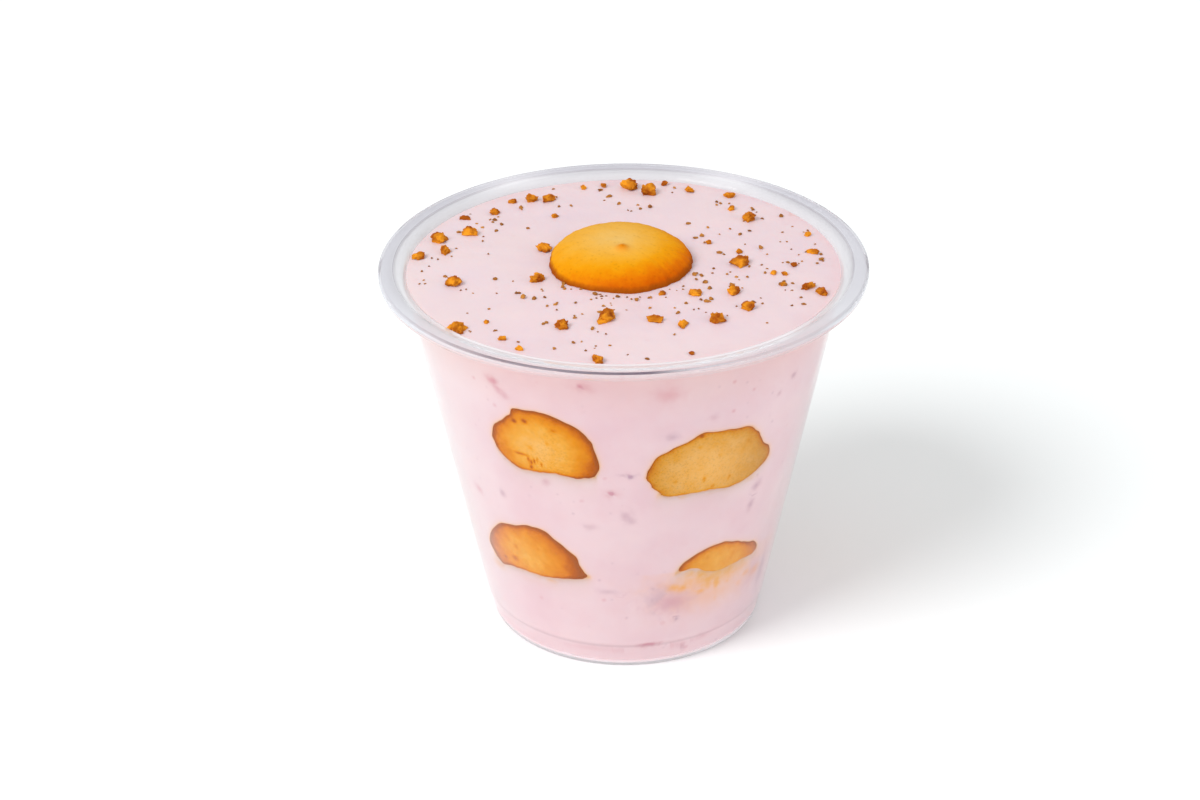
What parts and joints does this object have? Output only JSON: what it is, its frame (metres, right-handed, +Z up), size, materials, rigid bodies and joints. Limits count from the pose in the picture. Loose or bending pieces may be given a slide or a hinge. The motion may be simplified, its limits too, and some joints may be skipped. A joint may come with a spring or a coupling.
{
  "type": "cup of strawberry pudding",
  "caption": "Clear plastic cup filled with pink strawberry pudding, round wafers standing against its wall, a wafer and crumbs on top.",
  "frame": {"origin": "middle of the foot ring, on the surface that the cup stands on", "axes": "+Z up along the cup's axis, -Y towards the side that the picture shows, +X to its right"},
  "size_m": [0.0918, 0.092, 0.0779],
  "materials": {
    "clear_plastic": "clear, smooth, thin thermoformed plastic",
    "pudding": "pale pink cream, soft sheen, fine fruit specks",
    "wafer": "golden baked wafer, browner at the edge, matt with fine pores"
  },
  "bodies": {
    "root": {"cup": "clear_plastic", "pudding": "pudding", "wafer_top": "wafer", "wafer_upper_1": "wafer", "wafer_upper_2": "wafer", "wafer_upper_3": "wafer", "wafer_upper_4": "wafer", "wafer_upper_5": "wafer", "wafer_lower_1": "wafer", "wafer_lower_2": "wafer", "wafer_lower_3": "wafer", "wafer_lower_4": "wafer", "wafer_lower_5": "wafer"}
  },
  "joints": []
}
